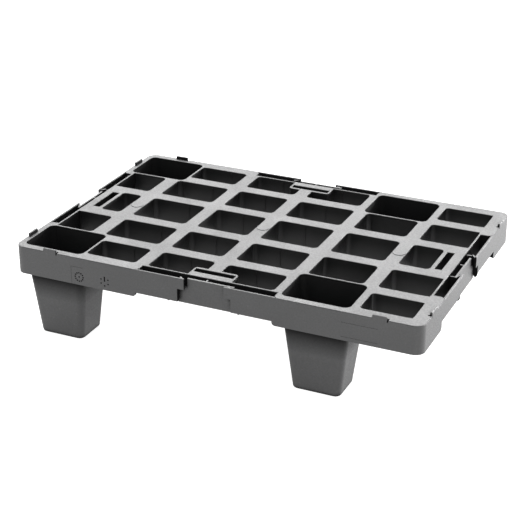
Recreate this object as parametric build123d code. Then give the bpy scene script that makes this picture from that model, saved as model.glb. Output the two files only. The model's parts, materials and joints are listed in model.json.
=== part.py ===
from build123d import *
import os

# Nestable quarter-size display pallet, moulded in one shot. Millimetres, +Z up.
# Origin: middle of the footprint, on the plane that the four feet stand on.
# +X runs along the long side, +Y from the front long side to the back one.

# Overall size
LENGTH = 600.0
WIDTH = 400.0
HEIGHT = 140.0
CORNER_RADIUS = 14.0

# Wall thicknesses
DECK_THICKNESS = 3.0
SKIRT_WALL = 3.0
CELL_WALL = 2.8
RIB_WALL = 2.0
EDGE_ROUNDING = 0.8

# Depths below the deck surface
CELL_DEPTH = 34.0
LONG_SKIRT_DEPTH = 35.0
SHORT_SKIRT_DEPTH = 28.7
BLOCK_SKIRT_DEPTH = 41.0
POCKET_WALL_DEPTH = 38.0
DIAPHRAGM_DEPTH = 24.0

# Deck openings: left and right edge of each column, front and back edge of each row
COLUMNS = {
    "a": (-283.0, -226.0),
    "b": (-204.5, -118.0),
    "c": (-98.5, -18.5),
    "d": (1.5, 88.5),
    "e": (108.5, 188.0),
    "f": (208.0, 280.0),
}
ROWS = {
    1: (-181.0, -133.5),
    2: (-113.5, -54.5),
    3: (-34.5, 34.5),
    4: (54.5, 113.5),
    5: (133.5, 181.0),
}
CELL_RADIUS = 6.5

# Feet: wide tapered sockets that open through the deck, so that pallets nest
FOOT_WALL = 3.0
FOOT_COLUMNS = {"left": (-291.1, -198.1), "right": (100.9, 197.2)}
FOOT_ROWS = {"front": (-188.5, -116.5), "back": (116.5, 188.5)}
FOOT_SOLE = (69.0, 55.0)
FOOT_MOUTH_RADIUS = 9.0
FOOT_SOLE_RADIUS = 9.0
SOLE_THICKNESS = 4.0
SOLE_ROUNDING = 3.5
SOLE_DRAIN_RADIUS = 5.0

# Edge channels between the deck and the skirt, open from above
CHANNEL_X = (-104.0, 96.0)
CHANNEL_Y = (-107.0, 107.0)
CHANNEL_NOSE_RADIUS = 8.0
BLOCK_X = (-108.0, 94.0)
BLOCK_Y = (-120.0, 120.0)
BLOCK_TOE_RADIUS = 5.0

# Coupling clip pockets, one in the middle of each side
POCKET_X = -4.5
POCKET_Y = 0.0
POCKET_MOUTH = 58.8
POCKET_ROOT = 77.0
POCKET_LOWER_MOUTH = 79.0
POCKET_INSET = 6.5
POCKET_LIP_DROP = 1.3
POCKET_LIP_HEIGHT = 16.0
POCKET_NOTCH_WIDTH = 11.5
POCKET_NOTCH_DEPTH = 13.0
POCKET_NUB_LENGTH = 5.0

# Coupling clip slots through the deck, behind the pockets
SLOT_LENGTH = 59.0
FRONT_SLOT_Y = (-171.0, -161.5)
FRONT_BRACKET_Y = -157.0
FRONT_BRACKET_WIDTH = 65.0
BRACKET_RADIUS = 5.0
LEFT_SLOT_X = (-274.0, -263.0)
LEFT_BRACKET_X = -257.4
RIGHT_SLOT_X = (258.5, 268.5)
RIGHT_BRACKET_X = 252.5

# Upstand tabs on the rim that locate a tray or the pallet above
TAB_LENGTH = 19.5
TAB_RISE = 4.3
TAB_X = 242.5
TAB_Y = 154.0
TAB_SLIT_DEPTH = 5.0
TAB_SLIT = 1.8

# Small moulded marks
GATE_SPOTS_X = (-215.25, -8.5, 198.0)
GATE_RADIUS = 9.2
GATE_RISE = 0.5
MONTH_DIAL = (-196.4, 111.2)
YEAR_DIAL = (-156.0, 112.0)
MONTH_DIAL_DOTS = 12
YEAR_DIAL_DOTS = 6
DIAL_RADIUS = 6.3
DIAL_DOT_RADIUS = 1.15
DIAL_POINTER_WIDTH = 1.9
MARK_DEPTH = 2.2
SEAM_X = (-209.0, -190.0)
SEAM_Z = (99.0, 126.0)
SEAM_WIDTH = 0.5
SEAM_DEPTH = 0.2
PANEL_LINE_X = (191.0, 241.0)
PANEL_LINE_Z = (104.5, 125.0)
EJECTOR_NUBS_X = (-58.0, 45.7)
EJECTOR_NUB_RADIUS = 1.2

# Ribs
CELL_RIB_X = (-146.0, -57.0, 42.0)
CELL_RIB_WIDTH = 1.4
CELL_RIB_RISE = 0.9

DECK_UNDER = HEIGHT - DECK_THICKNESS
FAR = 2.0 * LENGTH


def box(x_range, y_range, z_range):
    """Axis-aligned block from its lowest and highest corners."""
    size = [limits[1] - limits[0] for limits in (x_range, y_range, z_range)]
    middle = [(limits[1] + limits[0]) / 2 for limits in (x_range, y_range, z_range)]
    return Pos(*middle) * Box(*size)


def slab(sketch, low, high):
    """A plan sketch made solid between two heights."""
    return extrude(Pos(0, 0, low) * sketch, amount=high - low, dir=(0, 0, 1))


def plan(x_range, y_range, radius=0.0):
    """Rectangle in plan, with rounded corners where a radius is given."""
    length = x_range[1] - x_range[0]
    width = y_range[1] - y_range[0]
    shape = RectangleRounded(length, width, radius) if radius else Rectangle(length, width)
    return Pos((x_range[0] + x_range[1]) / 2, (y_range[0] + y_range[1]) / 2) * shape


def grown(limits, amount):
    """Widen a range by the same amount at both ends."""
    return (limits[0] - amount, limits[1] + amount)


# ---------------------------------------------------------------- plan layout

def cell_ranges():
    """Every deck cell that isn't a foot socket, as (x range, y range)."""
    cells = []
    for row, y_range in ROWS.items():
        outer_row = row in (1, 5)
        for column, x_range in COLUMNS.items():
            low, high = x_range
            if outer_row and column in ("a", "e"):
                continue
            if outer_row and column == "b":
                low = FOOT_COLUMNS["left"][1] + FOOT_WALL
            if row == 3 and column == "a":
                low = LEFT_BRACKET_X
            if row == 3 and column == "f":
                high = RIGHT_BRACKET_X
            cells.append(((low, high), y_range))
    return cells


def bracket_plan(side):
    """Plan of the front (-1) or back (1) clip bracket, where it cuts into the outer row."""
    x_range = grown((POCKET_X, POCKET_X), FRONT_BRACKET_WIDTH / 2)
    y_range = (-WIDTH / 2 + SKIRT_WALL, FRONT_BRACKET_Y)
    shape = plan(x_range, y_range, BRACKET_RADIUS)
    return shape if side < 0 else mirror(shape, about=Plane.XZ)


def cells_plan():
    """All cell openings, less the clip brackets that stand in them."""
    openings = Sketch() + [plan(x, y, CELL_RADIUS) for x, y in cell_ranges()]
    return openings - bracket_plan(-1) - bracket_plan(1)


def sockets_plan():
    """The four foot openings in the deck."""
    return Sketch() + [
        plan(x, y, FOOT_MOUTH_RADIUS) for x in FOOT_COLUMNS.values() for y in FOOT_ROWS.values()
    ]


def slots_plan():
    """The four coupling clip slots."""
    slot_x = grown((POCKET_X, POCKET_X), SLOT_LENGTH / 2)
    slot_y = grown((POCKET_Y, POCKET_Y), SLOT_LENGTH / 2)
    front = plan(slot_x, FRONT_SLOT_Y)
    return Sketch() + [
        front,
        mirror(front, about=Plane.XZ),
        plan(LEFT_SLOT_X, slot_y),
        plan(RIGHT_SLOT_X, slot_y),
    ]


def outline():
    return RectangleRounded(LENGTH, WIDTH, CORNER_RADIUS)


def web_lines():
    """Inner edge of each edge channel: front, back, left, right."""
    return {
        "front": ROWS[1][0] - CELL_WALL,
        "back": ROWS[5][1] + CELL_WALL,
        "left": COLUMNS["a"][0] - CELL_WALL,
        "right": COLUMNS["f"][1] + CELL_WALL,
    }


def channel_plans():
    """Gap over which the deck stops short of the skirt, one on each side."""
    line = web_lines()
    spans = {
        "front": (CHANNEL_X, (-WIDTH, line["front"])),
        "back": (CHANNEL_X, (line["back"], WIDTH)),
        "left": ((-LENGTH, line["left"]), CHANNEL_Y),
        "right": ((line["right"], LENGTH), CHANNEL_Y),
    }
    return {side: plan(*span) for side, span in spans.items()}


def nose_centres():
    """Centre of each rounded block nose, and the quadrant (x, y sign) that it rounds."""
    radius = CHANNEL_NOSE_RADIUS
    noses = []
    for x, side_x in ((CHANNEL_X[0] - radius, 1), (CHANNEL_X[1] + radius, -1)):
        for side_y in (-1, 1):
            noses.append((x, side_y * (WIDTH / 2 - radius), side_x, side_y))
    for y, side_y in ((CHANNEL_Y[0] - radius, 1), (CHANNEL_Y[1] + radius, -1)):
        for side_x in (-1, 1):
            noses.append((side_x * (LENGTH / 2 - radius), y, side_x, side_y))
    return noses


def quadrant(x, y, side_x, side_y, size):
    """Square with one corner on a point, lying to the given sides of it."""
    return Pos(x + side_x * size / 2, y + side_y * size / 2) * Rectangle(size, size)


def nose_plans():
    """Corners taken off the deck, where each edge channel ends against a block."""
    radius = CHANNEL_NOSE_RADIUS
    corners = [quadrant(*nose, radius) - Pos(nose[0], nose[1]) * Circle(radius) for nose in nose_centres()]
    return Sketch() + corners


def tab_places():
    """Middle of each rim tab and the direction that the rim runs in there, by side."""
    rim_x = LENGTH / 2
    rim_y = WIDTH / 2
    return {
        "front": [((-TAB_X, -rim_y), "x"), ((TAB_X, -rim_y), "x")],
        "back": [((-TAB_X, rim_y), "x")],
        "left": [((-rim_x, -TAB_Y), "y"), ((-rim_x, TAB_Y), "y")],
        "right": [((rim_x, -TAB_Y), "y"), ((rim_x, TAB_Y), "y")],
    }


def tab_pocket_plan():
    """Notches in the deck edge that the rim tabs stand in, each with a deeper slit at one end."""
    notches = []
    for places in tab_places().values():
        for (x, y), run in places:
            slit_middle = (TAB_LENGTH + TAB_SLIT) / 2
            if run == "x":
                notches.append(Pos(x, y) * Rectangle(TAB_LENGTH, 2 * SKIRT_WALL))
                notches.append(Pos(x + slit_middle, y) * Rectangle(TAB_SLIT, 2 * TAB_SLIT_DEPTH))
            else:
                notches.append(Pos(x, y) * Rectangle(2 * SKIRT_WALL, TAB_LENGTH))
                notches.append(Pos(x, y - slit_middle) * Rectangle(2 * TAB_SLIT_DEPTH, TAB_SLIT))
    return Sketch() + notches


def deck_plan():
    """The whole top surface of the deck."""
    shape = outline() - cells_plan() - sockets_plan() - slots_plan()
    for channel in channel_plans().values():
        shape -= channel
    return shape - nose_plans() - tab_pocket_plan()


def foot_mouth_plan():
    """Outer plan of the four feet just under the deck."""
    return Sketch() + [
        plan(grown(x, FOOT_WALL), grown(y, FOOT_WALL))
        for x in FOOT_COLUMNS.values()
        for y in FOOT_ROWS.values()
    ]


def cell_walls_plan():
    """Thin walls that hang round every cell and clip slot, and along the edge channels."""
    line = web_lines()
    walls = Sketch() + [offset(opening, CELL_WALL) for opening in cells_plan().faces()]
    walls += Sketch() + [offset(opening, CELL_WALL) for opening in slots_plan().faces()]
    walls += plan(CHANNEL_X, (line["front"], ROWS[1][0]))
    walls += plan(CHANNEL_X, (ROWS[5][1], line["back"]))
    walls += plan((line["left"], COLUMNS["a"][0]), CHANNEL_Y)
    walls += plan((COLUMNS["f"][1], line["right"]), CHANNEL_Y)
    walls &= plan((line["left"], line["right"]), (line["front"], line["back"]))
    return walls - cells_plan() - slots_plan() - foot_mouth_plan()


# ------------------------------------------------------------------ the deck

def deck_plate():
    """Top sheet of the deck, with its upper edges rounded and a raised gate disc on each gate spot."""
    plate = slab(deck_plan(), DECK_UNDER, HEIGHT)
    top_edges = plate.edges().filter_by_position(Axis.Z, HEIGHT, HEIGHT)
    plate = fillet(top_edges, EDGE_ROUNDING)
    for x in GATE_SPOTS_X:
        plate += slab(Pos(x, 0) * Circle(GATE_RADIUS), DECK_UNDER, HEIGHT + GATE_RISE)
    return plate


def strips():
    """Named strips that the deck lattice is divided into, as x and y ranges."""
    line = web_lines()
    inner_x = (COLUMNS["a"][0], COLUMNS["f"][1])
    front_y = (-WIDTH, ROWS[1][0])
    back_y = (ROWS[5][1], WIDTH)
    left_x = (-LENGTH, inner_x[0])
    right_x = (inner_x[1], LENGTH)
    side_front = (ROWS[1][0], CHANNEL_Y[0])
    side_back = (CHANNEL_Y[1], ROWS[5][1])
    regions = {}
    for name, y_range in (("front", front_y), ("back", back_y)):
        regions[name + "_left_deck_edge"] = ((-LENGTH, CHANNEL_X[0]), y_range)
        regions[name + "_channel_web"] = (CHANNEL_X, y_range)
        regions[name + "_right_deck_edge"] = ((CHANNEL_X[1], LENGTH), y_range)
    for name, x_range in (("left", left_x), ("right", right_x)):
        regions[name + "_front_deck_edge"] = (x_range, side_front)
        regions[name + "_channel_web"] = (x_range, CHANNEL_Y)
        regions[name + "_back_deck_edge"] = (x_range, side_back)
    for index in range(1, 5):
        regions["deck_rail_" + str(index)] = (inner_x, (ROWS[index][1], ROWS[index + 1][0]))
    return regions


def cross_bar_region(left, right):
    """Plan region between the middles of two neighbouring columns, in the five rows."""
    x_range = (sum(COLUMNS[left]) / 2, sum(COLUMNS[right]) / 2)
    return [(x_range, y_range) for y_range in ROWS.values()]


def region_block(spans):
    """Tall block over one or more plan regions."""
    return Part() + [box(x, y, (0, HEIGHT + DECK_THICKNESS)) for x, y in spans]


def lattice_nodes(plate, walls):
    """The deck lattice, divided into its named rails, bars, edges and brackets."""
    regions = {name: [span] for name, span in strips().items()}
    names = sorted(COLUMNS)
    for left, right in zip(names, names[1:]):
        regions["cross_bars_" + left + right] = cross_bar_region(left, right)
    left_bracket = ((COLUMNS["a"][0], sum(COLUMNS["a"]) / 2 + CELL_RADIUS), ROWS[3])
    right_bracket = ((sum(COLUMNS["f"]) / 2, COLUMNS["f"][1]), ROWS[3])
    regions["left_clip_bracket"] = [left_bracket]
    regions["right_clip_bracket"] = [right_bracket]
    nodes = {}
    for name, spans in regions.items():
        block = region_block(spans)
        nodes[name] = (plate & block) + (walls & block)
    return nodes


# ------------------------------------------------------------------ the skirt

def skirt_ring():
    inner = RectangleRounded(LENGTH - 2 * SKIRT_WALL, WIDTH - 2 * SKIRT_WALL, CORNER_RADIUS - SKIRT_WALL)
    return outline() - inner


def side_profile(half_length, block_range, middle_depth):
    """Side view of the skirt: deeper at both corner blocks, with rounded toes."""
    mid_low = HEIGHT - middle_depth
    low = HEIGHT - BLOCK_SKIRT_DEPTH
    toe = BLOCK_TOE_RADIUS
    shape = plan(grown((0, 0), half_length), (mid_low, HEIGHT))
    for end, side in ((block_range[0], -1), (block_range[1], 1)):
        far_end = side * half_length
        shape += plan(sorted((far_end, end + side * toe)), (low, mid_low + toe))
        shape += plan(sorted((far_end, end)), (low + toe, mid_low + toe))
        shape += Pos(end + side * toe, low + toe) * Circle(toe)
    return shape


def pocket_cut(middle):
    """Side view of the mouth of a clip pocket: wider below its two lips."""
    mouth = plan(grown((middle, middle), POCKET_MOUTH / 2), (0, HEIGHT + SKIRT_WALL))
    lip_low = HEIGHT - POCKET_LIP_HEIGHT
    return mouth + plan(grown((middle, middle), POCKET_LOWER_MOUTH / 2), (0, lip_low))


def skirt_body():
    """The whole outer skirt, open at the four clip pockets."""
    ring = skirt_ring()
    low = HEIGHT - BLOCK_SKIRT_DEPTH
    open_edge = ring & (sum_of(channel_plans().values()) + nose_plans())
    top_part = slab(open_edge, DECK_UNDER, HEIGHT)
    top_part = fillet(top_part.edges().filter_by_position(Axis.Z, HEIGHT, HEIGHT), EDGE_ROUNDING)
    body = slab(ring, low, DECK_UNDER) + top_part
    long_profile = side_profile(LENGTH / 2, BLOCK_X, LONG_SKIRT_DEPTH)
    short_profile = side_profile(WIDTH / 2, BLOCK_Y, SHORT_SKIRT_DEPTH)
    long_view = Plane.XZ * (long_profile - pocket_cut(POCKET_X))
    short_view = Plane.YZ * (short_profile - pocket_cut(POCKET_Y))
    end_x = LENGTH / 2 - CORNER_RADIUS
    end_y = WIDTH / 2 - CORNER_RADIUS
    long_sides = body & extrude(long_view, amount=FAR, both=True) & (
        box((-FAR, FAR), (-FAR, -end_y), (0, FAR)) + box((-FAR, FAR), (end_y, FAR), (0, FAR))
    )
    short_sides = body & extrude(short_view, amount=FAR, both=True) & (
        box((-FAR, -end_x), (-end_y, end_y), (0, FAR)) + box((end_x, FAR), (-end_y, end_y), (0, FAR))
    )
    return long_sides, short_sides


def sum_of(shapes):
    """Union of several plan shapes."""
    total = Sketch()
    for shape in shapes:
        total += shape
    return total


def skirt_nodes():
    """Eight straight skirt walls, two on each side, with the marks sunk in the front ones."""
    long_sides, short_sides = skirt_body()
    nodes = {}
    for front_back, side_y in (("front", -1), ("back", 1)):
        y_range = tuple(sorted((0, side_y * FAR)))
        nodes[front_back + "_skirt_left"] = long_sides & box((-FAR, POCKET_X), y_range, (0, FAR))
        nodes[front_back + "_skirt_right"] = long_sides & box((POCKET_X, FAR), y_range, (0, FAR))
    for left_right, side_x in (("left", -1), ("right", 1)):
        x_range = tuple(sorted((0, side_x * FAR)))
        nodes[left_right + "_skirt_front"] = short_sides & box(x_range, (-FAR, POCKET_Y), (0, FAR))
        nodes[left_right + "_skirt_back"] = short_sides & box(x_range, (POCKET_Y, FAR), (0, FAR))
    nodes["front_skirt_left"] = nodes["front_skirt_left"] + ejector_nub(0) - dial_marks() - insert_seam()
    nodes["front_skirt_right"] = nodes["front_skirt_right"] + ejector_nub(1) - panel_lines()
    return nodes


def ejector_nub(index):
    """Tiny round nub under the front skirt."""
    low = HEIGHT - LONG_SKIRT_DEPTH
    place = Pos(EJECTOR_NUBS_X[index], -WIDTH / 2 + SKIRT_WALL / 2, low)
    return place * Cylinder(EJECTOR_NUB_RADIUS, 2 * EJECTOR_NUB_RADIUS)


def sunk_in_front(sketch, depth):
    """Cutter that sinks a front-view sketch into the front skirt."""
    return Pos(0, -WIDTH / 2, 0) * extrude(Plane.XZ * sketch, amount=depth, both=True)


def dial_dots(place, count, skipped=0):
    """Ring of round dots on the front view, counted from the top one, less the skipped first ones."""
    spots = list(PolarLocations(DIAL_RADIUS, count, start_angle=90))
    return Sketch() + [Pos(*place) * spot * Circle(DIAL_DOT_RADIUS) for spot in spots[skipped:]]


def dial_marks():
    """Two mould date dials without figures: dots round a dot, and dots with a pointer as the top one."""
    month = dial_dots(MONTH_DIAL, MONTH_DIAL_DOTS) + Pos(*MONTH_DIAL) * Circle(DIAL_DOT_RADIUS)
    pointer = Rectangle(DIAL_POINTER_WIDTH, DIAL_RADIUS + DIAL_DOT_RADIUS, align=(Align.CENTER, Align.MIN))
    year = dial_dots(YEAR_DIAL, YEAR_DIAL_DOTS, 1) + Pos(*YEAR_DIAL) * pointer
    return sunk_in_front(month, MARK_DEPTH) + sunk_in_front(year, MARK_DEPTH)


def insert_seam():
    """Fine line that the mould insert leaves beside the date dials."""
    upright = plan((SEAM_X[0], SEAM_X[0] + SEAM_WIDTH), SEAM_Z)
    level = plan(SEAM_X, (SEAM_Z[1] - SEAM_WIDTH, SEAM_Z[1]))
    return sunk_in_front(upright + level, SEAM_DEPTH)


def panel_lines():
    """Two plain sunk lines, where a maker's panel would be."""
    lines = Sketch() + [plan(PANEL_LINE_X, grown((z, z), SEAM_WIDTH / 2)) for z in PANEL_LINE_Z]
    return sunk_in_front(lines, SEAM_DEPTH)


def channel_end_plan():
    """Curved walls that close the corner blocks at the ends of the edge channels."""
    radius = CHANNEL_NOSE_RADIUS
    line = web_lines()
    walls = Sketch()
    for x, y, side_x, side_y in nose_centres():
        ring = Pos(x, y) * (Circle(radius) - Circle(radius - SKIRT_WALL))
        arc = ring & quadrant(x, y, side_x, side_y, radius)
        if abs(y) > abs(CHANNEL_Y[1]) + radius:
            face_x = x + side_x * radius
            line_y = line["front"] if side_y < 0 else line["back"]
            flat = plan(sorted((face_x, face_x - side_x * SKIRT_WALL)), sorted((y, line_y)))
        else:
            face_y = y + side_y * radius
            line_x = line["left"] if side_x < 0 else line["right"]
            flat = plan(sorted((x, line_x)), sorted((face_y, face_y - side_y * SKIRT_WALL)))
        walls += arc + flat
    return walls - skirt_ring()


def block_end_plan():
    """Straight walls across the corner blocks, where the skirt steps down to them."""
    line = web_lines()
    walls = Sketch()
    for end, outward in ((BLOCK_X[0], -1), (BLOCK_X[1], 1)):
        x_range = sorted((end + outward * BLOCK_TOE_RADIUS, end + outward * (BLOCK_TOE_RADIUS + RIB_WALL)))
        walls += plan(x_range, (-WIDTH / 2 + SKIRT_WALL, line["front"]))
        walls += plan(x_range, (line["back"], WIDTH / 2 - SKIRT_WALL))
    for end, outward in ((BLOCK_Y[0], -1), (BLOCK_Y[1], 1)):
        y_range = sorted((end + outward * BLOCK_TOE_RADIUS, end + outward * (BLOCK_TOE_RADIUS + RIB_WALL)))
        walls += plan((-LENGTH / 2 + SKIRT_WALL, line["left"]), y_range)
        walls += plan((line["right"], LENGTH / 2 - SKIRT_WALL), y_range)
    return walls - foot_mouth_plan()


# ------------------------------------------------------------ clip pockets

def pocket_lip(side):
    """Lip folded back from the mouth of a pocket to the root of its inset wall."""
    face = -WIDTH / 2
    root = side * POCKET_ROOT / 2
    lip = side * POCKET_MOUTH / 2
    fold = Polygon(
        (root, face + POCKET_INSET + CELL_WALL),
        (lip, face + SKIRT_WALL),
        (lip, face + EDGE_ROUNDING),
        (root, face + POCKET_INSET),
        align=None,
    )
    return slab(fold, HEIGHT - POCKET_LIP_HEIGHT, HEIGHT - POCKET_LIP_DROP)


def pocket_end(side):
    """Web with a rounded foot that joins the skirt to one end of the inset wall, below the lip."""
    face = -WIDTH / 2
    round_top = HEIGHT - SHORT_SKIRT_DEPTH
    round_height = LONG_SKIRT_DEPTH - SHORT_SKIRT_DEPTH
    view = plan((face, face + POCKET_INSET), (round_top, HEIGHT - POCKET_LIP_HEIGHT))
    view += Pos(face + POCKET_INSET / 2, round_top) * Ellipse(POCKET_INSET / 2, round_height)
    middle = side * (POCKET_LOWER_MOUTH + RIB_WALL) / 2
    return Pos(middle, 0, 0) * extrude(Plane.YZ * view, amount=RIB_WALL / 2, both=True)


def clip_pocket(rib_length, notch_side):
    """Inset wall with its lips, end webs and stop nub, as on the front side, centred on X = 0."""
    low = HEIGHT - CELL_DEPTH
    top = HEIGHT - POCKET_LIP_DROP
    inset_y = -WIDTH / 2 + POCKET_INSET
    back_y = inset_y + CELL_WALL
    wall_end = POCKET_LOWER_MOUTH / 2 + RIB_WALL
    root = POCKET_ROOT / 2
    pocket = box((-wall_end, wall_end), (inset_y, back_y), (HEIGHT - POCKET_WALL_DEPTH, top))
    notch_x = sorted((notch_side * wall_end, notch_side * (root - POCKET_NOTCH_WIDTH)))
    pocket -= box(notch_x, (inset_y, back_y), (top - POCKET_NOTCH_DEPTH, top))
    for side in (-1, 1):
        pocket += pocket_lip(side) + pocket_end(side)
        if rib_length:
            rib_x = sorted((side * root, side * (root - RIB_WALL)))
            pocket += box(rib_x, (inset_y, back_y + rib_length), (low, top - POCKET_LIP_DROP))
    return pocket + box((-RIB_WALL / 2, RIB_WALL / 2), (back_y, back_y + POCKET_NUB_LENGTH), (low, top))


def pocket_nodes(skirts):
    """The four clip pockets, trimmed where they meet the skirt."""
    line = web_lines()
    side_rib = LENGTH / 2 - line["right"] - POCKET_INSET - CELL_WALL
    left_rib = LENGTH / 2 + line["left"] - POCKET_INSET - CELL_WALL
    front = Pos(POCKET_X, 0, 0) * clip_pocket(0, -1)
    quarter_turn = Pos(LENGTH / 2 - WIDTH / 2, POCKET_Y, 0) * Rot(0, 0, 90)
    nodes = {
        "front_clip_pocket": front,
        "back_clip_pocket": mirror(front, about=Plane.XZ),
        "right_clip_pocket": quarter_turn * clip_pocket(side_rib, 1),
        "left_clip_pocket": mirror(quarter_turn * clip_pocket(left_rib, 1), about=Plane.YZ),
    }
    for name in nodes:
        side = name.split("_")[0]
        for skirt, solid in skirts.items():
            if skirt.startswith(side):
                nodes[name] = nodes[name] - solid
    return nodes


# -------------------------------------------------------------------- feet

def foot(x_range, y_range):
    """Hollow tapered foot with a closed, rounded sole and a drain hole."""
    x = sum(x_range) / 2
    y = sum(y_range) / 2
    length = x_range[1] - x_range[0]
    width = y_range[1] - y_range[0]
    wall = 2 * FOOT_WALL
    mouth = RectangleRounded(length + wall, width + wall, FOOT_MOUTH_RADIUS + FOOT_WALL)
    sole = RectangleRounded(*FOOT_SOLE, FOOT_SOLE_RADIUS)
    outer = loft([sole, Pos(0, 0, DECK_UNDER) * mouth])
    outer = fillet(outer.edges().filter_by_position(Axis.Z, 0, 0), SOLE_ROUNDING)
    inner_sole = RectangleRounded(FOOT_SOLE[0] - wall, FOOT_SOLE[1] - wall, FOOT_SOLE_RADIUS - FOOT_WALL)
    inner_mouth = RectangleRounded(length, width, FOOT_MOUTH_RADIUS)
    inner = loft([inner_sole, Pos(0, 0, DECK_UNDER) * inner_mouth])
    cup = outer - (inner & box((-length, length), (-width, width), (SOLE_THICKNESS, HEIGHT)))
    cup -= Cylinder(SOLE_DRAIN_RADIUS, 2 * HEIGHT)
    return Pos(x, y, 0) * cup


def foot_nodes():
    nodes = {}
    for front_back, y_range in FOOT_ROWS.items():
        for left_right, x_range in FOOT_COLUMNS.items():
            nodes["foot_" + front_back + "_" + left_right] = foot(x_range, y_range)
    return nodes


# ------------------------------------------------------- tabs and small ribs

def rim_tabs(side):
    """Thin upstand plates in the line of the skirt, standing in notches of the deck edge."""
    tabs = []
    for (x, y), run in tab_places()[side]:
        inward_x = -x / abs(x) * SKIRT_WALL / 2 if run == "y" else 0
        inward_y = -y / abs(y) * SKIRT_WALL / 2 if run == "x" else 0
        size = (TAB_LENGTH, SKIRT_WALL) if run == "x" else (SKIRT_WALL, TAB_LENGTH)
        tab = slab(Pos(x + inward_x, y + inward_y) * Rectangle(*size), DECK_UNDER, HEIGHT + TAB_RISE)
        tabs.append(fillet(tab.edges().group_by(Axis.Z)[-1], EDGE_ROUNDING))
    return Part() + tabs


def cell_guide_ribs():
    """Slim upright ribs on the long walls of the cells in columns b, c and d."""
    ribs = []
    low = HEIGHT - CELL_DEPTH
    for x in CELL_RIB_X:
        for front, back in ROWS.values():
            x_range = grown((x, x), CELL_RIB_WIDTH / 2)
            ribs.append(box(x_range, (back - CELL_RIB_RISE, back), (low, DECK_UNDER)))
            ribs.append(box(x_range, (front, front + CELL_RIB_RISE), (low, DECK_UNDER)))
    return Part() + ribs


def diaphragm_ribs(walls_plan, ends_plan):
    """Cross ribs under the deck, inside the hollow bars and the corner blocks."""
    strip = Sketch()
    for low, high in COLUMNS.values():
        strip += plan(grown(((low + high) / 2, (low + high) / 2), RIB_WALL / 2), (-WIDTH, WIDTH))
    for low, high in ROWS.values():
        strip += plan((-LENGTH, LENGTH), grown(((low + high) / 2, (low + high) / 2), RIB_WALL / 2))
    plan_shape = (strip & deck_plan()) - walls_plan - ends_plan - foot_mouth_plan() - skirt_ring()
    return slab(plan_shape, HEIGHT - DIAPHRAGM_DEPTH, DECK_UNDER)


def main():
    os.makedirs("parts", exist_ok=True)
    walls_plan = cell_walls_plan()
    ends_plan = channel_end_plan()
    block_ends_plan = block_end_plan()
    walls = slab(walls_plan, HEIGHT - CELL_DEPTH, DECK_UNDER)
    nodes = lattice_nodes(deck_plate(), walls)
    skirts = skirt_nodes()
    nodes.update(skirts)
    nodes.update(pocket_nodes(skirts))
    nodes.update(foot_nodes())
    channel_ends = slab(ends_plan, HEIGHT - SHORT_SKIRT_DEPTH, DECK_UNDER)
    block_ends = slab(block_ends_plan, HEIGHT - BLOCK_SKIRT_DEPTH, DECK_UNDER)
    nodes["block_end_webs"] = channel_ends + block_ends
    nodes["cell_guide_ribs"] = cell_guide_ribs()
    nodes["diaphragm_ribs"] = diaphragm_ribs(walls_plan, ends_plan + block_ends_plan)
    for side in tab_places():
        nodes[side + "_rim_tabs"] = rim_tabs(side)
    for name, shape in nodes.items():
        export_step(Compound(children=shape.solids()), "parts/" + name + ".step")


main()
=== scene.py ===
import json

import bpy
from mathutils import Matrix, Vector


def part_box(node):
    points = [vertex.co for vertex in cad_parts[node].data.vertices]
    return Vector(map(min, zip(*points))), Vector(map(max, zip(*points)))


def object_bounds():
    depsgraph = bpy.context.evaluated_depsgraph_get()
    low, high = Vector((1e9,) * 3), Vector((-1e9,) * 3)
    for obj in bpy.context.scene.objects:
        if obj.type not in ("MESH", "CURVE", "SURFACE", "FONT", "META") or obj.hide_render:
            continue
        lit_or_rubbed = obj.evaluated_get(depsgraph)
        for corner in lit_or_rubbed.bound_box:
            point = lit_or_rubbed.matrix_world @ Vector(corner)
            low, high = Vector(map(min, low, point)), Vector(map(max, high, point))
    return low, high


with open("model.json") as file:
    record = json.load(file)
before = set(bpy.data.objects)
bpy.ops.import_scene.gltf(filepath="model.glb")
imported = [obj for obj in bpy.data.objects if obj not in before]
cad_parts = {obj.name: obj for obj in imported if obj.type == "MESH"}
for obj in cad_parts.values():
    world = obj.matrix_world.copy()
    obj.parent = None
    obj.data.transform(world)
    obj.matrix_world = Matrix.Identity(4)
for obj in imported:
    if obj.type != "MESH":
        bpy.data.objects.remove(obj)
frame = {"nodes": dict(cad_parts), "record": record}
cad_low, cad_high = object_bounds()

MM = 0.001

# Plastic tones, as linear (r, g, b). The first is painted shade for a hidden face, the second paler
# painted light from below for a face deep in a deck opening.
HIDDEN_SHADE = (0.0075, 0.0075, 0.0077)
DEEP_BOUNCE_LIGHT = (0.042, 0.042, 0.0424)
ALL_SHADE = (HIDDEN_SHADE, HIDDEN_SHADE)
SHADE_TO_BOUNCE_LIGHT = (HIDDEN_SHADE, DEEP_BOUNCE_LIGHT)
SCUFF_GAIN = 2.6
SCUFF_LIFT = 0.02

# What sets one finish apart: its tones from dark to light, its mean roughness, the height of its
# grain, the share of coarse pebbling in that grain, and the strength of its scuffs.
DECK = {
    "dark": (0.056, 0.056, 0.057), "light": (0.086, 0.086, 0.087),
    "roughness": 0.42, "grain_height": 0.06 * MM, "pebble": 2.4, "scuff": 0.12,
}
SKIRT = {
    "dark": (0.066, 0.066, 0.067), "light": (0.080, 0.080, 0.081),
    "roughness": 0.44, "grain_height": 0.04 * MM, "pebble": 1.4, "scuff": 0.14,
}
RIB = {
    "dark": (0.045, 0.045, 0.046), "light": (0.055, 0.055, 0.056),
    "roughness": 0.5, "grain_height": 0.04 * MM, "pebble": 1.0, "scuff": 0.04,
}
FOOT = {
    "dark": (0.062, 0.062, 0.063), "light": (0.076, 0.076, 0.077),
    "roughness": 0.46, "grain_height": 0.04 * MM, "pebble": 1.4, "scuff": 0.2,
}

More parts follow.
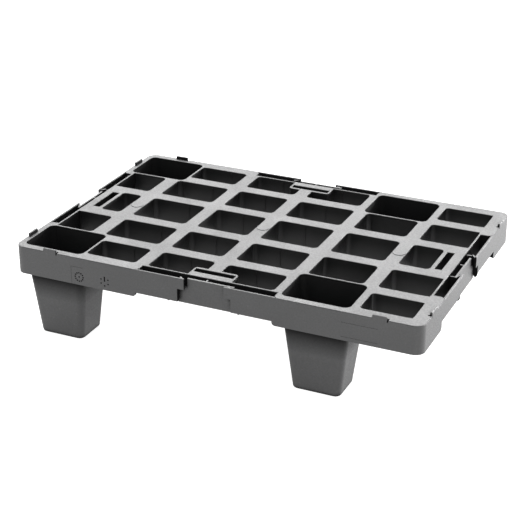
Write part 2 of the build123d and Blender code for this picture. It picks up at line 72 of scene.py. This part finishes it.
# Noises shared by every finish: cells per metre, detail and roughness.
CLOUDS = (14.0, 4.0, 0.6)
GRAIN = (1100.0, 2.0, 0.6)
PEBBLES = (420.0, 2.0, 0.5)
SCRATCHES = (160.0, 3.0, 0.7)
SCRATCH_STRETCH = (1.0, 0.12, 1.0)

# Range of each noise that is spread over its whole effect.
CLOUD_TONES = (0.35, 0.65)
CLOUD_ROUGHNESS = (0.3, 0.7)
SPECKLE_TONES = (0.36, 0.64)
GRAIN_ROUGHNESS = (0.35, 0.65)
SCUFF_TONES = (0.62, 0.8)

# What each noise adds to the roughness, from its low end to its high end.
CLOUD_STEP = (-0.05, 0.07)
GRAIN_STEP = (-0.07, 0.07)
SPECKLE_STEP = (0.06, -0.06)

# Hidden faces are duller than exposed ones; those among the deck openings keep some of the shine.
INNER_SHINE = 0.4
DULL_ROUGHNESS = 0.2
SPECULAR_LEVELS = (0.06, 0.5)
PLASTIC_IOR = 1.5
BUMP_STRENGTH = 0.55

# A face takes the rubbed colour and painted light if it looks up, or away from the middle, and has
# nothing within a few millimetres; otherwise it gets painted shade, recesses included.
LOOKS_UP = (0.25, 0.75)
EDGE_FACES = (0.96, 0.985)
SIDE_FACES = (0.3, 0.6)
AO_SHADE_RANGE = (0.5, 0.85)
AO_SHADE_DISTANCE = 9 * MM
AO_SHADE_SAMPLES = 6

# Painted shade under the deck: the side faces of a foot take the dark hidden tone above the first
# height, and the rubbed colour below the second.
FOOT_SHADE_FROM_TO = (94 * MM, 58 * MM)
# Painted light from below: the walls of the deck openings get paler from the first height down to
# the second.
BOUNCE_LIGHT_FROM_TO = (132 * MM, 104 * MM)
# Width of the open channel along each side of the deck, outside the lattice.
CHANNEL_WIDTH = 17.5 * MM

# The surroundings. Floor glow and sky light go from their first value to their second: the glow
# from reflected light to what the camera sees, the sky from the horizon to SKY_FULL_HEIGHT and up.
FLOOR_SIZE = 30.0
FLOOR_TONE = 0.6
FLOOR_ROUGHNESS = 0.9
FLOOR_GLOW = (0.15, 0.8)
SKY_LIGHT = (0.75, 1.25)
SKY_FULL_HEIGHT = 0.7
WHITE = (1.0, 1.0, 1.0, 1.0)
BACK_PANEL = {"place": (-1.7, 5.6, 4.0), "target": (0, 0, 0.1), "size": (7.0, 3.6), "power": 480.0}
RIGHT_PANEL = {
    "place": (2.0, 2.1, 0.34), "target": (0.28, 0.1, 0.1), "size": (1.6, 0.56), "power": 140.0,
}

SENSOR_WIDTH = 36.0
LENS = 96.85
CAMERA_PLACE = (0.7550, -1.6796, 0.9431)
CAMERA_DIRECTION = (-0.3776, 0.8252, -0.4201)


# ------------------------------------------------------------ material tools

def node_tree(material):
    """Fresh node tree of a material, with its shader."""
    material.use_nodes = True
    tree = material.node_tree
    tree.nodes.clear()
    shader = tree.nodes.new("ShaderNodeBsdfPrincipled")
    output = tree.nodes.new("ShaderNodeOutputMaterial")
    tree.links.new(shader.outputs["BSDF"], output.inputs["Surface"])
    return tree, shader


def place_coordinates(tree):
    """Object coordinates, shared by every piece, so that grain runs on across their seams."""
    return tree.nodes.new("ShaderNodeTexCoord").outputs["Object"]


def noise(tree, where, scale, detail, roughness, stretch=None):
    """Value of a 3-D noise, with its scale in cells per metre."""
    texture = tree.nodes.new("ShaderNodeTexNoise")
    texture.inputs["Scale"].default_value = scale
    texture.inputs["Detail"].default_value = detail
    texture.inputs["Roughness"].default_value = roughness
    if stretch is not None:
        mapping = tree.nodes.new("ShaderNodeMapping")
        mapping.inputs["Scale"].default_value = stretch
        tree.links.new(where, mapping.inputs["Vector"])
        where = mapping.outputs["Vector"]
    tree.links.new(where, texture.inputs["Vector"])
    return texture.outputs["Fac"]


def ramp(tree, value, low, high, out_low=0.0, out_high=1.0):
    """Linear map of a value from one range to another, clamped."""
    node = tree.nodes.new("ShaderNodeMapRange")
    node.inputs["From Min"].default_value = low
    node.inputs["From Max"].default_value = high
    node.inputs["To Min"].default_value = out_low
    node.inputs["To Max"].default_value = out_high
    tree.links.new(value, node.inputs["Value"])
    return node.outputs["Result"]


def math_node(tree, operation, first, second=0.0):
    """One maths step on one or two values, either of which may be a plain number."""
    node = tree.nodes.new("ShaderNodeMath")
    node.operation = operation
    for index, value in enumerate((first, second)):
        if isinstance(value, (int, float)):
            node.inputs[index].default_value = value
        else:
            tree.links.new(value, node.inputs[index])
    return node.outputs["Value"]


def mix_colour(tree, factor, first, second):
    """Blend of two colours, each a plain (r, g, b) or a socket."""
    node = tree.nodes.new("ShaderNodeMix")
    node.data_type = "RGBA"
    tree.links.new(factor, node.inputs["Factor"])
    for name, value in (("A", first), ("B", second)):
        socket = [s for s in node.inputs if s.name == name and s.type == "RGBA"][0]
        if isinstance(value, tuple):
            socket.default_value = (*value, 1.0)
        else:
            tree.links.new(value, socket)
    return [s for s in node.outputs if s.type == "RGBA"][0]


def vector_part(tree, vector, axis):
    """One component of a vector."""
    split = tree.nodes.new("ShaderNodeSeparateXYZ")
    tree.links.new(vector, split.inputs["Vector"])
    return split.outputs[axis]


# ---------------------------------------------------------------- materials

def outward(tree, where, normal, middle, reach):
    """How far a face looks away from an upright middle line: 1 on an outer face, below 0 inside."""
    terms = []
    for axis, centre, half in (("X", middle[0], reach[0]), ("Y", middle[1], reach[1])):
        offset = math_node(tree, "SUBTRACT", vector_part(tree, where, axis), centre)
        offset = math_node(tree, "DIVIDE", offset, half)
        terms.append(math_node(tree, "MULTIPLY", offset, vector_part(tree, normal, axis)))
    return math_node(tree, "ADD", *terms)


def lit_and_rubbed(tree, where, skin):
    """Mask of the faces that take the rubbed colour and painted light: upward ones and outer ones,
    but no recess; the rest get painted shade.
    """
    normal = tree.nodes.new("ShaderNodeNewGeometry").outputs["Normal"]
    top = ramp(tree, vector_part(tree, normal, "Z"), *LOOKS_UP)
    away = outward(tree, where, normal, skin["middle"], skin["reach"])
    outer = ramp(tree, away, *skin["limits"])
    # Painted shade close under the deck: upright faces up there keep the dark hidden tone.
    if "heights" in skin:
        below_shade = ramp(tree, vector_part(tree, where, "Z"), *skin["heights"])
        outer = math_node(tree, "MULTIPLY", outer, below_shade)
    # Painted shade in recesses: ambient occlusion within a few millimetres turns a face to the dark
    # hidden tone.
    occlusion = tree.nodes.new("ShaderNodeAmbientOcclusion")
    occlusion.samples = AO_SHADE_SAMPLES
    occlusion.inputs["Distance"].default_value = AO_SHADE_DISTANCE
    unoccluded = ramp(tree, occlusion.outputs["AO"], *AO_SHADE_RANGE)
    return math_node(tree, "MULTIPLY", math_node(tree, "MAXIMUM", top, outer), unoccluded)


def lattice(tree, where):
    """1 among the deck openings, 0 in the channels along the four sides."""
    parts = []
    for axis, half in (("X", cad_high[0]), ("Y", cad_high[1])):
        distance = math_node(tree, "ABSOLUTE", vector_part(tree, where, axis))
        parts.append(ramp(tree, distance, half - CHANNEL_WIDTH, half - CHANNEL_WIDTH - MM))
    return math_node(tree, "MULTIPLY", *parts)


def moulded_plastic(name, look, skin, inside):
    """Black moulded polymer: rubbed grey and grained outside, with painted shade making it nearly
    black inside.

    inside holds the painted shade of the hidden faces high up in the deck openings, and the paler
    painted light from below deep down in them.
    """
    material = bpy.data.materials.new(name)
    tree, shader = node_tree(material)
    where = place_coordinates(tree)
    clouds = noise(tree, where, *CLOUDS)
    grain = noise(tree, where, *GRAIN)
    pebbles = noise(tree, where, *PEBBLES)
    scratches = noise(tree, where, *SCRATCHES, stretch=SCRATCH_STRETCH)
    speckle = ramp(tree, pebbles, *SPECKLE_TONES)
    lit_or_rubbed = lit_and_rubbed(tree, where, skin)
    openings = lattice(tree, where)

    # colour
    mottle = math_node(tree, "ADD", ramp(tree, clouds, *CLOUD_TONES), speckle)
    mottle = math_node(tree, "MULTIPLY", mottle, 0.5)
    worn = mix_colour(tree, mottle, look["dark"], look["light"])
    scuffed = ramp(tree, scratches, *SCUFF_TONES, 0.0, look["scuff"])
    scuff = tuple(min(1.0, channel * SCUFF_GAIN + SCUFF_LIFT) for channel in look["light"])
    worn = mix_colour(tree, scuffed, worn, scuff)
    # Painted light from below: the hidden faces among the deck openings grow paler further down.
    bounce_light = ramp(tree, vector_part(tree, where, "Z"), *BOUNCE_LIGHT_FROM_TO)
    bounce_light = math_node(tree, "MULTIPLY", bounce_light, openings)
    hidden = mix_colour(tree, bounce_light, *inside)
    # Painted shade: faces outside the mask take the near-black hidden tone instead of the rubbed
    # plastic.
    tree.links.new(mix_colour(tree, lit_or_rubbed, hidden, worn), shader.inputs["Base Color"])

    # shine
    low, high = (look["roughness"] + step for step in CLOUD_STEP)
    rough = ramp(tree, clouds, *CLOUD_ROUGHNESS, low, high)
    rough = math_node(tree, "ADD", rough, ramp(tree, grain, *GRAIN_ROUGHNESS, *GRAIN_STEP))
    rough = math_node(tree, "ADD", rough, ramp(tree, speckle, 0.0, 1.0, *SPECKLE_STEP))
    inner_shine = math_node(tree, "MULTIPLY", openings, INNER_SHINE)
    shine = math_node(tree, "MAXIMUM", lit_or_rubbed, inner_shine)
    dulled = ramp(tree, shine, 0.0, INNER_SHINE, DULL_ROUGHNESS, 0.0)
    tree.links.new(math_node(tree, "ADD", rough, dulled), shader.inputs["Roughness"])
    specular = ramp(tree, shine, 0.0, 1.0, *SPECULAR_LEVELS)
    tree.links.new(specular, shader.inputs["Specular IOR Level"])
    shader.inputs["IOR"].default_value = PLASTIC_IOR

    # moulded grain
    height = math_node(tree, "ADD", grain, math_node(tree, "MULTIPLY", pebbles, look["pebble"]))
    bump = tree.nodes.new("ShaderNodeBump")
    bump.inputs["Strength"].default_value = BUMP_STRENGTH
    bump.inputs["Distance"].default_value = look["grain_height"]
    tree.links.new(height, bump.inputs["Height"])
    tree.links.new(bump.outputs["Normal"], shader.inputs["Normal"])
    return material


def outer_skin(low, high, limits):
    """Which upright faces of a box-like piece count as outer ones."""
    return {
        "middle": [(low[axis] + high[axis]) / 2 for axis in (0, 1)],
        "reach": [(high[axis] - low[axis]) / 2 for axis in (0, 1)],
        "limits": limits,
    }


def foot_finish(node):
    """Finish of one foot, with painted shade on the faces turned in towards its own middle and
    close under the deck.
    """
    skin = outer_skin(*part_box(node), SIDE_FACES)
    skin["heights"] = FOOT_SHADE_FROM_TO
    return moulded_plastic(node + "_plastic", FOOT, skin, ALL_SHADE)


def finish_frame():
    """Every CAD node takes the finish of its material slot, and each foot one of its own."""
    edge_only = outer_skin(cad_low, cad_high, EDGE_FACES)
    all_round = outer_skin(cad_low, cad_high, SIDE_FACES)
    # Every finish paints shade on hidden faces, and paler painted light from below deep in the
    # openings.
    finishes = {
        "deck_plastic": moulded_plastic("deck_plastic", DECK, edge_only, SHADE_TO_BOUNCE_LIGHT),
        "skirt_plastic": moulded_plastic("skirt_plastic", SKIRT, all_round, SHADE_TO_BOUNCE_LIGHT),
        "rib_plastic": moulded_plastic("rib_plastic", RIB, edge_only, SHADE_TO_BOUNCE_LIGHT),
    }
    for part in frame["record"]["subparts"]:
        node = part["node"]
        finish = finishes.get(part["material_slot"])
        if finish is None:
            finish = foot_finish(node)
        piece = frame["nodes"][node]
        piece.data.materials.clear()
        piece.data.materials.append(finish)


# ------------------------------------------------------------------- studio

def camera_ray(tree):
    """1 for what the camera sees directly, 0 for light on its way to something else."""
    return tree.nodes.new("ShaderNodeLightPath").outputs["Is Camera Ray"]


def pale_floor():
    """Plain pale floor, wide enough to fill the view, that looks white from every angle."""
    bpy.ops.mesh.primitive_plane_add(size=FLOOR_SIZE, location=(0, 0, 0))
    floor = bpy.context.object
    floor.name = "floor"
    material = bpy.data.materials.new("floor_paper")
    tree, shader = node_tree(material)
    shader.inputs["Base Color"].default_value = (FLOOR_TONE, FLOOR_TONE, FLOOR_TONE, 1.0)
    shader.inputs["Roughness"].default_value = FLOOR_ROUGHNESS
    shader.inputs["Emission Color"].default_value = WHITE
    glow = ramp(tree, camera_ray(tree), 0.0, 1.0, *FLOOR_GLOW)
    tree.links.new(glow, shader.inputs["Emission Strength"])
    floor.data.materials.append(material)


def panel(name, place, target, size, power):
    """Soft rectangular light, aimed at a point."""
    light = bpy.data.lights.new(name, "AREA")
    light.shape = "RECTANGLE"
    light.size, light.size_y = size
    light.energy = power
    lamp = bpy.data.objects.new(name, light)
    lamp.location = place
    lamp.rotation_mode = "QUATERNION"
    lamp.rotation_quaternion = (Vector(target) - Vector(place)).to_track_quat("-Z", "Y")
    bpy.context.scene.collection.objects.link(lamp)


def sky():
    """Surround that lights more from overhead than from the horizon, and looks white itself."""
    world = bpy.data.worlds.new("studio")
    bpy.context.scene.world = world
    world.use_nodes = True
    tree = world.node_tree
    background = tree.nodes["Background"]
    background.inputs["Color"].default_value = WHITE
    direction = tree.nodes.new("ShaderNodeTexCoord").outputs["Generated"]
    strength = ramp(tree, vector_part(tree, direction, "Z"), 0.0, SKY_FULL_HEIGHT, *SKY_LIGHT)
    strength = math_node(tree, "MAXIMUM", strength, camera_ray(tree))
    tree.links.new(strength, background.inputs["Strength"])


def studio():
    """White studio: a wide soft light high behind the pallet, and a low one behind on its right."""
    sky()
    panel("back_panel", **BACK_PANEL)
    panel("right_panel", **RIGHT_PANEL)


def camera():
    """Long lens from the front right, well above the pallet."""
    data = bpy.data.cameras.new("camera")
    data.sensor_width = SENSOR_WIDTH
    data.lens = LENS
    view = bpy.data.objects.new("camera", data)
    view.location = CAMERA_PLACE
    view.rotation_mode = "QUATERNION"
    view.rotation_quaternion = Vector(CAMERA_DIRECTION).to_track_quat("-Z", "Y")
    bpy.context.scene.collection.objects.link(view)
    bpy.context.scene.camera = view


finish_frame()
pale_floor()
studio()
camera()
bpy.context.scene.view_settings.view_transform = "Standard"
